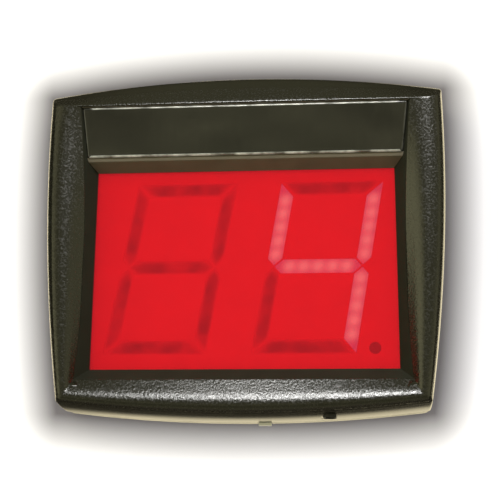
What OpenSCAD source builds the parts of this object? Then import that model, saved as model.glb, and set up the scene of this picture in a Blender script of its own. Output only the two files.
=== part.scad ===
// Wall-hung two-digit number display of a queue counter.
// Frame: x to the right, z up, y from the viewer to the wall. The back face lies on y = 0.

/* [Body] */
// Half width of the rim at its two top corners
rim_top_x = 115.2; // [112:0.1:118]
// Height of the rim's top corners above the middle of the body
rim_top_z = 90; // [88:0.1:92]
// Half width of the rim at its two bottom corners
rim_low_x = 103.6; // [101:0.1:106]
// Height of the rim's bottom corners, below the middle of the body
rim_low_z = -93.2; // [-95:0.1:-92]
// Rise of the bowed top edge above its corners
bow_top = 9.6; // [7:0.1:11]
// Swell of each bowed side
bow_side = 4.3; // [3:0.1:5]
// Drop of the bowed bottom edge below its corners
bow_low = 6.5; // [5:0.1:8]
// Depth from the wall to the crest of the frame
body_depth = 45; // [44:0.5:48]
// Depth from the crest back to the rim
roll_depth = 11; // [9:0.5:12]
// Growth of the outline from the rim to the parting line
draft_out = 1; // [0.5:0.1:1.5]
// Thickness of the moulded walls
wall = 2.6; // [2.2:0.1:3]
// Depth of the rear cover, from the wall to the parting line
cover_depth = 10; // [9:0.5:11]
// Radius of the upright corners
corner_r = 3; // [2:0.5:5]

/* [Crest] */
// Half width of the crest at its top corners
crest_top_x = 105.8; // [104:0.1:107]
// Height of the crest's top corners
crest_top_z = 85.2; // [84:0.1:86]
// Half width of the crest at its bottom corners
crest_low_x = 97.6; // [96.5:0.1:99]
// Height of the crest's bottom corners
crest_low_z = -84.9; // [-86:0.1:-84]
// Bows of the crest: top, side and bottom
crest_bows = [5, 0.9, 5.4];

/* [Window] */
// Width of the window
win_w = 174.2; // [172:0.1:176]
// Height of the window
win_h = 116.5; // [115:0.1:118]
// Height of the middle of the window
win_z = -14.4; // [-15:0.1:-14]
// Depth from the wall to the back of the window frame
win_depth = 29; // [29:0.5:30]
// Outward lean of the smooth walls round the window, per millimetre of depth
lean = 0.6; // [0.55:0.01:0.62]
// Margin of the filter hidden behind the frame at each side
filter_margin = 4; // [3:0.5:4]
// Thickness of the red filter
filter_t = 3; // [2:0.5:3]
// Thickness of the tape that holds the filter
tape_t = 0.5; // [0.5:0.1:0.8]

/* [Header strip] */
// Depth of the ledge above the window, in front of the window frame's back
ledge_t = 7.8; // [7:0.1:8]
// Height of the foot of the strip above the middle of the window
strip_low = 65.4; // [65:0.1:66]
// Height of the head of the strip above the middle of the window
strip_top = 94.6; // [94:0.1:95]
// Depth of the seat at its foot and at its head
seat_t = [8, 13];
// Thickness of the clear strip
strip_t = 1.6; // [1.2:0.1:1.6]
// Thickness of the blank card behind it
card_t = 0.3; // [0.2:0.1:0.3]

/* [Digits] */
// Height of a digit
digit_h = 101.6; // [100:0.1:102]
// Width of a digit between the middles of its upright segments
digit_w = 51; // [50:0.1:52]
// Width of a segment
seg_w = 8.2; // [7.8:0.1:8.6]
// Gap between two neighbouring segments
seg_gap = 0.9; // [0.7:0.1:1.1]
// Sideways lean of a digit, per millimetre of height
slant = 0.174; // [0.16:0.001:0.18]
// Distance between the middles of the two digits
digit_pitch = 84.8; // [84.8:0.1:86]
// Height of the middle of the digits above the middle of the window
digit_rise = 1.3; // [1:0.1:1.4]
// Size of the reflector that holds both digits
reflector = [175.4, 9.4, 118];
// Drop of the reflector's middle below the middle of the digits
reflector_drop = 0.8; // [0.5:0.1:1]
// Size of a light board
led_board = [83.4, 1.6, 115];
// Depth of the light-guiding filling in a segment
lens_t = 3; // [2:0.5:4]
// Chips under each segment
leds_per_seg = 5; // [3:1:5]

/* [Electronics] */
// Size of the main board
board = [176, 1.6, 168];
// Height of the middle of the main board
board_z = -2; // [-2.5:0.5:-1.5]
// Depth from the wall to the back of the main board
board_depth = 10.4; // [10:0.1:10.8]
// Places of the board posts: half spacing and the two heights
post_at = [80, 74, -80.5];
// Places of the case screws: top and bottom, half spacing and height
case_screw_at = [[102, 78], [94, -85.5]];

/* [Controls] */
// Middle of the push button at the bottom edge
button_x = 11; // [5:0.5:20]
// Width of the push button
button_w = 7.4; // [6:0.1:8]
// Travel of the push button
button_travel = 1; // [0.5:0.1:1.2]
// Middle of the volume trimmer, across and up
trimmer_at = [58, -60];
// Middle of the chime switch, across and up
chime_at = [-58, -60];
// Travel of the chime switch
chime_travel = 2; // [1.5:0.1:2]

/* [Wall fixing] */
// Distance between the two keyholes
keyhole_pitch = 150; // [120:5:160]
// Height of the keyholes' round entries
keyhole_z = 42; // [30:1:50]
// Radius of the round entry
keyhole_r = 4.5; // [4.5:0.1:5]
// Width of the keyhole slot
keyhole_slot = 4.4; // [4:0.1:4.4]
// Length of the keyhole slot above the entry's middle
keyhole_rise = 10; // [9:0.5:12]
// Middle of the cable slot in the underside, across and in depth
cable_at = [48.2, -23];
// Inner size of the cable slot, across and in depth
cable_slot = [5, 13];

/* [Hidden] */
$fn = 48;

edge_steps = 14;                      // steps along each edge of an outline
corner_steps = 3;                     // steps round each corner
roll_steps = 5;                       // steps over the rolled outer edge
eps = 0.01;                           // overlap of solids that are fused
win_y = -win_depth;                   // back face of the window frame
rim_t = body_depth - roll_depth - win_depth;     // depth of the rim in front of win_y
crest_t = body_depth - win_depth;                // depth of the crest in front of win_y
parting_t = cover_depth - win_depth;             // depth of the parting line
pocket_top_t = crest_t - 1;           // depth of the pocket's edge at the top
pocket_low_t = 11.1;                  // and at the bottom
pocket_dip = -5;                      // and how far it sinks half way down each side
filter_y = win_y + tape_t;            // front face of the filter
digit_y = filter_y + filter_t + 0.2;  // front face of the reflector
digit_z = win_z + digit_rise;
digit_xs = [-digit_pitch / 2, digit_pitch / 2];
led_board_y = digit_y + reflector[1]; // front face of the light boards
board_y = -board_depth;               // back face of the main board
board_front_y = board_y - board[1];
back_y = -wall;                       // inner face of the rear cover's back wall
boss_y = -12;                         // plane where the case bosses meet
seat_angle = atan((seat_t[1] - seat_t[0]) / (strip_top - strip_low));
seat_length = norm([strip_top - strip_low, seat_t[1] - seat_t[0]]);
point_at = [31.5, -47.5];             // decimal point, from the middle of its digit
point_r = 3.4;
button_y = -5.6;                      // middle of the push button in depth
button_tip_z = -102.2;
plunger_z = -89.5;                    // where the button meets the plunger

function lerp(a, b, k) = a + (b - a) * k;

// An outline is [top corner, bottom corner, [bow top, side, bottom], dip of the sides, corner radius],
// with each corner as [half width, height above the window's middle, depth in front of win_y].
function left_of(c) = [-c[0], c[1], c[2]];
function edge_point(a, b, bulge, k) = lerp(a, b, k) + 4 * k * (1 - k) * bulge;
function bezier(a, b, c, k) = lerp(lerp(a, b, k), lerp(b, c, k), k);
function edge_run(a, b, bulge, inset) =
    [for (i = [0:edge_steps]) edge_point(a, b, bulge, lerp(inset, 1 - inset, i / edge_steps))];
function outline_runs(o) =
    let (
        tr = o[0], br = o[1], tl = left_of(tr), bl = left_of(br),
        kx = o[4] / (tr[0] + br[0]), kz = o[4] / (tr[1] - br[1])
    ) [
        edge_run(tl, tr, [0, o[2][0], 0], kx),
        edge_run(tr, br, [o[2][1], 0, o[3]], kz),
        edge_run(br, bl, [0, -o[2][2], 0], kx),
        edge_run(bl, tl, [-o[2][1], 0, o[3]], kz)
    ];
function outline(o) =
    let (runs = outline_runs(o), ends = [o[0], o[1], left_of(o[1]), left_of(o[0])])
    [for (e = [0:3])
        let (last = runs[e][edge_steps], next = runs[(e + 1) % 4][0])
        each concat(
            runs[e],
            [for (j = [1:corner_steps - 1]) bezier(last, ends[e], next, j / corner_steps)]
        )];
function placed(o) = [for (p = outline(o)) [p[0], win_y - p[2], win_z + p[1]]];

// Outline of the rim, moved outwards by d, at depth t
function rim(d, t) = [
    [rim_top_x + d, rim_top_z - win_z + d, t], [rim_low_x + d, rim_low_z - win_z - d, t],
    [bow_top, bow_side, bow_low], 0, corner_r
];
// Outline of the crest, moved outwards by d, at depth t
function crest(d, t) = [
    [crest_top_x + d, crest_top_z - win_z + d, t], [crest_low_x + d, crest_low_z - win_z - d, t],
    crest_bows, 0, corner_r
];
// Rolled edge: a quarter ellipse from the rim, at angle 0, to the crest, at angle 90
function roll(low, high, angle) =
    [for (i = [0:4]) i < 2
        ? [each lerp([low[i][0], low[i][1]], [high[i][0], high[i][1]], 1 - cos(angle)),
           lerp(low[i][2], high[i][2], sin(angle))]
        : lerp(low[i], high[i], 1 - cos(angle))];
// Outline that lies on the leaning walls round the window
function on_walls(top_z, top_t, low_t, dip) = [
    [win_w / 2 + lean * top_t, top_z, top_t],
    [win_w / 2 + lean * low_t, -win_h / 2 - lean * low_t, low_t],
    [0, lean * dip, 0], dip, 0.3
];
// Outline of the bezel's inside
function inside(x, top_z, top_t, low_z, low_t) = [[x, top_z, top_t], [x, low_z, low_t], [0, 0, 0], 0, 1];

bezel_rings = [
    rim(draft_out, parting_t),
    each [for (i = [0:roll_steps]) roll(rim(0, rim_t), crest(0, crest_t), 90 * i / roll_steps)],
    crest(-2, crest_t - 0.4),
    on_walls(strip_top + 0.3, pocket_top_t, pocket_low_t, pocket_dip),
    on_walls(strip_top, seat_t[1], pocket_low_t - 1.5, pocket_dip + 1),
    on_walls(strip_low, seat_t[0], 6, 0),
    on_walls(win_h / 2 + lean * ledge_t, ledge_t, 4, 0),
    on_walls(win_h / 2, 0, 0, 0),
    inside(93.6, 66.2, 0, -66.6, 0),
    inside(95.6, 68, 4, -68.4, 2),
    inside(97.4, 95.4, 9.8, -69, 8),
    each [for (i = [3:-1:0])
        roll(rim(-wall, rim_t), crest(-1, crest_t - wall), 90 * i / 3)],
    rim(draft_out - wall, parting_t)
];

// A closed tube of outlines, its last joined to its first
module ring_loft(rings) {
    pts = [for (r = rings) placed(r)];
    n = len(pts[0]);
    m = len(pts);
    polyhedron(
        [for (r = pts) each r],
        [for (i = [0:m - 1], j = [0:n - 1])
            let (a = i * n, b = (i + 1) % m * n, k = (j + 1) % n)
            each [[a + j, b + k, b + j], [a + j, a + k, b + k]]]
    );
}

// Flat outline of the rim, moved outwards by d, as a prism from depth y0 to y1
module rim_prism(d, y0, y1) {
    translate([0, y1, 0])
        rotate([90, 0, 0])
            linear_extrude(y1 - y0)
                polygon([for (p = placed(rim(d, 0))) [p[0], p[2]]]);
}

// Rod along y from depth y0 to y1
module rod(x, z, r, y0, y1) {
    translate([x, y1, z]) rotate([90, 0, 0]) cylinder(r = r, h = y1 - y0);
}

// Block centred on x and z, from depth y0 to y1
module block(x, z, w, h, y0, y1) {
    translate([x - w / 2, y0, z - h / 2]) cube([w, y1 - y0, h]);
}

// Slot with round ends along y, upright through z0 to z1
module depth_slot(x, y, w, l, z0, z1) {
    for (s = [-1, 1]) translate([x, y + s * (l - w) / 2, z0]) cylinder(d = w, h = z1 - z0);
    translate([x - w / 2, y - (l - w) / 2, z0]) cube([w, l - w, z1 - z0]);
}

// Pan-head screw along y: head towards the wall, at depth y
module screw(x, z, y, r, length, head_r) {
    rod(x, z, r, y - length, y + eps);
    difference() {
        rod(x, z, head_r, y, y + head_r * 0.7);
        block(x, z, head_r * 1.2, 0.7, y + head_r * 0.35, y + head_r);
        block(x, z, 0.7, head_r * 1.2, y + head_r * 0.35, y + head_r);
    }
}

// Children at the four board posts
module at_posts() {
    for (s = [-1, 1], z = [post_at[1], post_at[2]]) translate([s * post_at[0], 0, z]) children();
}

// Children at the four case screws
module at_case_screws() {
    for (s = [-1, 1], p = case_screw_at) translate([s * p[0], 0, p[1]]) children();
}

clip_x = 62;                          // half spacing of the filter clips
clip_z = win_h / 2 + 6.6;             // height of the clip screws from the window's middle

// Children at the four filter clips, turned so that +z points away from the window
module at_clips() {
    for (s = [-1, 1], u = [0, 1])
        translate([s * clip_x, 0, win_z + (u == 1 ? clip_z : -clip_z)])
            mirror([0, 0, 1 - u]) children();
}

module front_bezel() {
    color([0.13, 0.13, 0.11])
        difference() {
            union() {
                ring_loft(bezel_rings);
                at_case_screws() rod(0, 0, 4, -41, boss_y);
                for (s = [-1, 1]) {
                    rod(s * post_at[0], post_at[1], 3.5, -39, board_front_y);
                    rod(s * post_at[0], post_at[2], 3.5, -33, board_front_y);
                }
                at_clips() rod(0, 0, 2.4, win_y - 1, filter_y + filter_t);
            }
            at_case_screws() rod(0, 0, 1.25, boss_y - 14, boss_y + 1);
            at_posts() rod(0, 0, 1.1, board_front_y - 9, board_front_y + 1);
            at_clips() rod(0, 0, 0.8, win_y - 3, 0);
            depth_slot(cable_at[0], cable_at[1], cable_slot[0] + 2, cable_slot[1] + 2, -110, -92);
        }
}

module rear_cover() {
    color([0.12, 0.12, 0.11])
        difference() {
            union() {
                difference() {
                    rim_prism(draft_out, -cover_depth, 0);
                    rim_prism(draft_out - wall, -cover_depth - 1, back_y);
                }
                difference() {
                    rim_prism(draft_out - wall - 0.25, -cover_depth - 3.5, -cover_depth + 2);
                    rim_prism(draft_out - wall - 1.75, -cover_depth - 4, 0);
                }
                difference() {
                    rim_prism(draft_out - wall + eps, -cover_depth, -cover_depth + 2);
                    rim_prism(draft_out - wall - 1.75, -cover_depth - 1, 0);
                }
                at_case_screws() rod(0, 0, 4.6, boss_y, back_y + eps);
            }
            at_case_screws() {
                rod(0, 0, 1.7, boss_y - 1, 1);
                rod(0, 0, 3.2, -8, 1);
            }
            for (s = [-1, 1]) {
                rod(s * keyhole_pitch / 2, keyhole_z, keyhole_r, back_y - 1, 1);
                rod(s * keyhole_pitch / 2, keyhole_z + keyhole_rise, keyhole_slot / 2, back_y - 1, 1);
                block(s * keyhole_pitch / 2, keyhole_z + keyhole_rise / 2, keyhole_slot, keyhole_rise,
                    back_y - 1, 1);
            }
            block(button_x, -100, button_w + 0.6, 12, button_y - 2, button_y + 2);
        }
}

module window_filter() {
    color([0.75, 0.05, 0.08, 0.9])
        block(0, win_z, win_w + 2 * filter_margin, win_h + 2 * filter_margin,
            filter_y, filter_y + filter_t);
}

module filter_tape() {
    color([0.1, 0.1, 0.1])
        difference() {
            block(0, win_z, win_w + 2 * filter_margin, win_h + 2 * filter_margin, win_y, filter_y);
            block(0, win_z, win_w + 1, win_h + 1, win_y - 1, filter_y + 1);
        }
}

module filter_clips() {
    clip_t = 1.2;
    color([0.7, 0.7, 0.68])
        at_clips()
            difference() {
                block(0, -0.5, 9, 8, filter_y + filter_t, filter_y + filter_t + clip_t);
                rod(0, 0, 1.2, filter_y, 0);
            }
}

module clip_screws() {
    color([0.75, 0.75, 0.75])
        at_clips() screw(0, 0, filter_y + filter_t + 1.2, 0.8, 5, 2);
}

// A plate on the sloping seat above the window, from height n0 to n1 over the seat
module seat_plate(n0, n1, clear) {
    half_low = win_w / 2 + lean * seat_t[0] - clear;
    half_top = win_w / 2 + lean * seat_t[1] - clear;
    translate([0, win_y - seat_t[0], win_z + strip_low])
        rotate([90 + seat_angle, 0, 0])
            translate([0, 0, n0])
                linear_extrude(n1 - n0)
                    polygon([
                        [-half_low, 0], [half_low, 0],
                        [half_top, seat_length - clear], [-half_top, seat_length - clear]
                    ]);
}

module header_strip() {
    color([0.2, 0.2, 0.2, 0.6]) seat_plate(card_t, card_t + strip_t, 0.25);
}

module header_card() {
    color([0.05, 0.05, 0.05]) seat_plate(0, card_t, 0.6);
}

// Outline of one segment, drawn in by d, with its digit upright about [0, 0]
function segment_points(name, d) =
    let (
        w = digit_w / 2, v = (digit_h - seg_w) / 2, h = seg_w / 2 - d,
        g = seg_gap / sqrt(2) + d * (sqrt(2) - 1), e = h + g + d
    )
    name == "g" ? [[-w + g + d, 0], [-w + e, h], [w - e, h], [w - g - d, 0], [w - e, -h], [-w + e, -h]] :
    name == "a" ? [[-w - h + g + d, v + h], [w + h - g - d, v + h],
                   [w - e, v - h], [-w + e, v - h]] :
    name == "f" ? [[-w - h, v + h - g - d], [-w + h, v - e],
                   [-w + h, e], [-w, g + d], [-w - h, e]] :
    name == "b" ? [for (p = segment_points("f", d)) [-p[0], p[1]]] :
    name == "c" ? [for (p = segment_points("f", d)) [-p[0], -p[1]]] :
    name == "e" ? [for (p = segment_points("f", d)) [p[0], -p[1]]] :
    [for (p = segment_points("a", d)) [p[0], -p[1]]];

// Segments of a digit as slanted prisms from depth y0 to y1
module segments(names, cx, d, y0, y1) {
    translate([cx, y1, digit_z])
        rotate([90, 0, 0])
            linear_extrude(y1 - y0)
                for (name = names)
                    polygon([for (p = segment_points(name, d)) [p[0] + slant * p[1], p[1]]]);
}

module digit_reflector() {
    color([0.86, 0.86, 0.84])
        difference() {
            block(0, digit_z - reflector_drop, reflector[0], reflector[2], digit_y, led_board_y);
            for (cx = digit_xs)
                segments(["a", "b", "c", "d", "e", "f", "g"], cx, 0, digit_y - 1, led_board_y + 1);
            rod(digit_xs[1] + point_at[0], digit_z + point_at[1], point_r, digit_y - 1, led_board_y + 1);
        }
}

module tens_segments() {
    color([0.62, 0.6, 0.58])
        segments(["a", "b", "c", "d", "e", "f", "g"], digit_xs[0], 0.05, digit_y, digit_y + lens_t);
}

module units_segments_lit() {
    color([1, 0.55, 0.55])
        segments(["b", "c", "f", "g"], digit_xs[1], 0.05, digit_y, digit_y + lens_t);
}

module units_segments_unlit() {
    color([0.62, 0.6, 0.58])
        segments(["a", "d", "e"], digit_xs[1], 0.05, digit_y, digit_y + lens_t);
}

module units_point() {
    color([0.62, 0.6, 0.58])
        rod(digit_xs[1] + point_at[0], digit_z + point_at[1], point_r - 0.05, digit_y, digit_y + lens_t);
}

module light_board(cx) {
    color([0.1, 0.35, 0.2])
        block(cx, digit_z, led_board[0], led_board[2], led_board_y, led_board_y + led_board[1]);
}

module tens_led_board() { light_board(digit_xs[0]); }

module units_led_board() { light_board(digit_xs[1]); }

// Middle and direction of each segment of an upright digit: [x, z, 1 if it stands up]
segment_axes = [
    [0, 1, 0], [1, 0.5, 1], [1, -0.5, 1], [0, -1, 0], [-1, -0.5, 1], [-1, 0.5, 1], [0, 0, 0]
];

// Chips in a row under each segment, on the light board
module led_chips(cx) {
    v = (digit_h - seg_w) / 2;
    for (a = segment_axes, i = [0:leds_per_seg - 1]) {
        run = (i / (leds_per_seg - 1) - 0.5) * (a[2] == 1 ? v - 14 : digit_w - 18);
        x = a[0] * digit_w / 2 + (a[2] == 1 ? 0 : run);
        z = a[1] * v + (a[2] == 1 ? run : 0);
        block(cx + x + slant * z, digit_z + z, 3, 2.6, led_board_y - 1.2, led_board_y);
    }
}

module tens_leds() { color([0.95, 0.9, 0.7]) led_chips(digit_xs[0]); }

module units_leds() {
    color([0.95, 0.9, 0.7]) {
        led_chips(digit_xs[1]);
        block(digit_xs[1] + point_at[0], digit_z + point_at[1], 3, 2.6, led_board_y - 1.2, led_board_y);
    }
}

module digit_pins() {
    pin_count = 9;
    color([0.8, 0.75, 0.5])
        for (cx = digit_xs, s = [-1, 1], i = [0:pin_count - 1])
            block(cx + (i - (pin_count - 1) / 2) * 2.54, digit_z + s * 50, 0.64, 0.64,
                led_board_y + led_board[1], board_front_y);
}

module main_board() {
    color([0.08, 0.32, 0.18])
        difference() {
            block(0, board_z, board[0], board[2], board_front_y, board_y);
            at_posts() rod(0, 0, 1.6, board_front_y - 1, board_y + 1);
        }
}

// Flat chip on the back of the main board, with legs along its two long sides
module chip(x, z, w, h, t, legs) {
    color([0.1, 0.1, 0.1]) block(x, z, w, h, board_y + 0.5, board_y + 0.5 + t);
    color([0.75, 0.75, 0.75])
        for (s = [-1, 1], i = [0:legs / 2 - 1])
            block(x + (i - (legs / 2 - 1) / 2) * 2.54, z + s * (h / 2 + 0.4), 0.6, 0.8,
                board_y, board_y + 2.4);
}

module microcontroller() { chip(0, -22, 35, 7, 3.4, 28); }

module segment_drivers() {
    for (cx = digit_xs) chip(cx, -2, 24, 7, 3.4, 18);
}

module resistor_networks() {
    color([0.75, 0.6, 0.15])
        for (cx = digit_xs) block(cx, 14, 23, 2.4, board_y, board_y + 5);
}

module crystal() {
    color([0.8, 0.8, 0.8]) {
        block(30, -22, 7, 4.4, board_y, board_y + 3.6);
        for (s = [-1, 1]) rod(30 + s * 3.5, -22, 2.2, board_y, board_y + 3.6);
    }
}

module voltage_regulator() {
    color([0.12, 0.12, 0.12]) block(-52, 52, 10, 9, board_y + 1.6, board_y + 5.6);
    color([0.75, 0.75, 0.75]) {
        difference() {
            block(-52, 59.5, 10, 6, board_y + 1.6, board_y + 2.9);
            rod(-52, 59.8, 1.8, board_y, board_y + 4);
        }
        for (i = [-1:1]) {
            block(-52 + i * 2.54, 45.8, 0.9, 3.5, board_y + 1.6, board_y + 2.5);
            block(-52 + i * 2.54, 44.5, 0.9, 0.9, board_y, board_y + 2.5);
        }
    }
}

module heat_sink() {
    fins = 6;
    color([0.6, 0.6, 0.6])
        difference() {
            union() {
                block(-52, 57, 26, 20, board_y, board_y + 1.6);
                for (s = [-1, 1], i = [0:fins / 2 - 1])
                    block(-52 + s * (7.6 + i * 2.4), 57, 1, 20, board_y + 1.5, board_y + 6.6);
            }
            rod(-52, 59.8, 1.5, board_y - 1, board_y + 2);
        }
}

module smoothing_capacitors() {
    color([0.15, 0.2, 0.3])
        for (x = [-30, -17, -4]) {
            rod(x, 62, 5, board_front_y - 15, board_front_y - 2.6);
            rod(x, 62, 4.6, board_front_y - 2.7, board_front_y - 1.6);
            rod(x, 62, 5, board_front_y - 1.7, board_front_y);
        }
}

module bridge_rectifier() {
    color([0.1, 0.1, 0.1])
        difference() {
            rod(12, 62, 4.6, board_front_y - 6, board_front_y);
            block(12, 66.4, 9, 1, board_front_y - 7, board_front_y + 1);
        }
}

module buzzer() {
    color([0.1, 0.1, 0.1])
        difference() {
            rod(32, 62, 7, board_front_y - 8.5, board_front_y);
            rod(32, 62, 1.2, board_front_y - 9, board_front_y - 6);
        }
}

terminal_z = -81.2;
terminal_pitch = 5.08;
terminal_ways = 4;

module terminal_block() {
    color([0.15, 0.45, 0.25])
        difference() {
            block(cable_at[0], terminal_z, terminal_ways * terminal_pitch + 0.6, 7.6,
                board_front_y - 10, board_front_y);
            for (i = [0:terminal_ways - 1]) {
                x = cable_at[0] + (i - (terminal_ways - 1) / 2) * terminal_pitch;
                translate([x, board_front_y - 4, terminal_z - 5]) cylinder(r = 1.7, h = 6);
                rod(x, terminal_z, 2, board_front_y - 11, board_front_y - 6);
            }
        }
}

module terminal_screws() {
    color([0.8, 0.8, 0.75])
        for (i = [0:terminal_ways - 1])
            difference() {
                x = cable_at[0] + (i - (terminal_ways - 1) / 2) * terminal_pitch;
                rod(x, terminal_z, 1.9, board_front_y - 9, board_front_y - 6);
                block(x, terminal_z, 3, 0.6, board_front_y - 9.5, board_front_y - 8.3);
            }
}

module cable_grommet() {
    z0 = rim_low_z - bow_low + 0.4;   // just under the underside
    color([0.05, 0.05, 0.05])
        difference() {
            union() {
                depth_slot(cable_at[0], cable_at[1], cable_slot[0] + 1.9, cable_slot[1] + 1.9, z0, z0 + 4);
                depth_slot(cable_at[0], cable_at[1], cable_slot[0] + 3.4, cable_slot[1] + 3.4,
                    z0 + 3.8, z0 + 5);
            }
            depth_slot(cable_at[0], cable_at[1], cable_slot[0], cable_slot[1], z0 - 1, z0 + 6);
        }
}

module button_switch() {
    color([0.15, 0.15, 0.15])
        difference() {
            block(button_x, -83, 6.4, 6, board_y, back_y - 0.4);
            translate([button_x, button_y, -87]) cylinder(r = 1.75, h = 5.4);
        }
}

module volume_trimmer() {
    color([0.15, 0.35, 0.65])
        difference() {
            block(trimmer_at[0], trimmer_at[1], 9.5, 9.5, board_y, board_y + 5);
            rod(trimmer_at[0], trimmer_at[1], 3.55, board_y + 1.6, board_y + 6);
        }
}

module chime_switch() {
    color([0.6, 0.6, 0.6])
        difference() {
            block(chime_at[0], chime_at[1], 9, 4, board_y, board_y + 3.6);
            block(chime_at[0], chime_at[1], 1.5 + chime_travel + 0.3, 1.8, board_y + 1.5, board_y + 4);
        }
}

module board_screws() {
    color([0.75, 0.75, 0.75]) at_posts() screw(0, 0, board_y, 1.1, 8, 2.8);
}

module case_screws() {
    color([0.2, 0.2, 0.2]) at_case_screws() screw(0, 0, -8, 1.25, 16, 2.9);
}

module advance_button() {
    color([0.95, 0.95, 0.93]) {
        block(button_x, (button_tip_z - 95) / 2, button_w, -95 - button_tip_z, button_y - 1.7, button_y + 1.7);
        block(button_x, -96.9, button_w + 2.4, 1.4, button_y - 1.7, button_y + 1.7);
        block(button_x, (plunger_z - 95) / 2, 3.4, plunger_z + 95, button_y - 1.7, button_y + 1.7);
    }
}

module button_plunger() {
    color([0.85, 0.2, 0.15]) translate([button_x, button_y, plunger_z]) cylinder(r = 1.7, h = 6.4);
}

module trimmer_wheel() {
    color([0.92, 0.92, 0.9])
        difference() {
            rod(trimmer_at[0], trimmer_at[1], 3.5, board_y + 1.65, board_y + 4.6);
            block(trimmer_at[0], trimmer_at[1], 5.4, 0.9, board_y + 3.6, board_y + 5);
        }
}

module chime_slider() {
    color([0.1, 0.1, 0.1])
        block(chime_at[0] - chime_travel / 2, chime_at[1], 1.5, 1.5, board_y + 1.6, board_y + 6);
}

front_bezel();
rear_cover();
window_filter();
filter_tape();
filter_clips();
clip_screws();
header_strip();
header_card();
digit_reflector();
tens_segments();
units_segments_lit();
units_segments_unlit();
units_point();
tens_led_board();
units_led_board();
tens_leds();
units_leds();
digit_pins();
main_board();
microcontroller();
segment_drivers();
resistor_networks();
crystal();
voltage_regulator();
heat_sink();
smoothing_capacitors();
bridge_rectifier();
buzzer();
terminal_block();
terminal_screws();
cable_grommet();
button_switch();
volume_trimmer();
chime_switch();
board_screws();
case_screws();
advance_button();
button_plunger();
trimmer_wheel();
chime_slider();
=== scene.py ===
import bmesh
import bpy
import numpy as np
from mathutils import Matrix, Vector


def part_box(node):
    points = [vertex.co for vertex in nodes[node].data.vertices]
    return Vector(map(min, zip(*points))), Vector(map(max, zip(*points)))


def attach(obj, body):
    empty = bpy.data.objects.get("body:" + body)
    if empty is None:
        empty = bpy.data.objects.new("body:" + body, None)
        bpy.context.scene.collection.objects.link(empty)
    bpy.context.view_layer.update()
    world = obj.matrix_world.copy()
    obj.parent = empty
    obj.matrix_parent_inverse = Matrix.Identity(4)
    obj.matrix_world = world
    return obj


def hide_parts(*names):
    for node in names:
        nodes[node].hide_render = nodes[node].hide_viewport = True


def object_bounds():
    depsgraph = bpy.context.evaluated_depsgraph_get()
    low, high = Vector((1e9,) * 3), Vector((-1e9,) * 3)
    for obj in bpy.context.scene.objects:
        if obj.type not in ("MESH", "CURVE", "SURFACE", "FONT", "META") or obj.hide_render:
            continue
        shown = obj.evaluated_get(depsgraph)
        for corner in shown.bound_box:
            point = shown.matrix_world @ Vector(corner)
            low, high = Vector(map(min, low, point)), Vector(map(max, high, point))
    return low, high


# A wall-hung number display for a shop's queue: x to the right, z up, y from the viewer to the wall.
# Its back lies on y = 0. Lengths are metres; sizes are written in millimetres and multiplied by mm.
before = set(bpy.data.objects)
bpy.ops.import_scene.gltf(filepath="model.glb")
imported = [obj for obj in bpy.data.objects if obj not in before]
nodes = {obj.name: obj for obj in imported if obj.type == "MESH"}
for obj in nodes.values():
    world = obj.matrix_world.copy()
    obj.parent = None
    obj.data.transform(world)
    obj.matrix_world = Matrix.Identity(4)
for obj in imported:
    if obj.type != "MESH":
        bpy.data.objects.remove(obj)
cad_low, cad_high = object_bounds()
mm = 0.001


# Camera: in front of the display, below its middle and a little to the right, looking up at it.
# The place and the angles are those at which the window's corners and the digits fall as in the photograph.
camera_place = np.array([51.2, -592.0, -148.4]) * mm
camera_pitch, camera_yaw, camera_roll = np.radians([14.331, -4.843, 0.423])
camera_lens = 73.0

ahead = np.array([np.sin(camera_yaw) * np.cos(camera_pitch), np.cos(camera_yaw) * np.cos(camera_pitch),
                  np.sin(camera_pitch)])
level = np.array([np.cos(camera_yaw), -np.sin(camera_yaw), 0.0])
upright = np.cross(level, ahead)
turned = np.eye(4)
turned[:3, 0] = np.cos(camera_roll) * level + np.sin(camera_roll) * upright
turned[:3, 1] = np.cos(camera_roll) * upright - np.sin(camera_roll) * level
turned[:3, 2] = -ahead
turned[:3, 3] = camera_place
camera = bpy.data.objects.new("camera", bpy.data.cameras.new("camera"))
camera.data.lens = camera_lens
camera.data.sensor_width = 36.0
camera.data.clip_start, camera.data.clip_end = 0.01, 50.0
camera.matrix_world = Matrix(turned.tolist())
bpy.context.scene.collection.objects.link(camera)
bpy.context.scene.camera = camera


# Wall and floor: a pale painted wall that the display hangs on, and a plain pale floor far below.
# The wall carries a painted shadow: its paint darkens softly towards the display's outline, as the camera
# sees it on the wall. It is seen from the room only, so that the display's back can be looked at from
# behind it.
wall_half = 2500 * mm
wall_gap = 0.5 * mm
floor_drop = 1300 * mm
wall_paint = (0.90, 0.89, 0.98)
floor_paint = (0.80, 0.79, 0.77)
# The outline of the painted shadow on the wall: its middle (x, z), half its size, how much the sides lean
# outwards, and how far the top, the sides and the bottom bow. The painted darkening starts halo_start
# inside it and ends halo_reach outside it.
halo_middle, halo_half, halo_lean, halo_bows = (-2.6, 5.8), (116.6, 99.7), 0.062, (10.4, 4.5, 6.0)
halo_start, halo_reach = 4.5, 22.0


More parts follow.
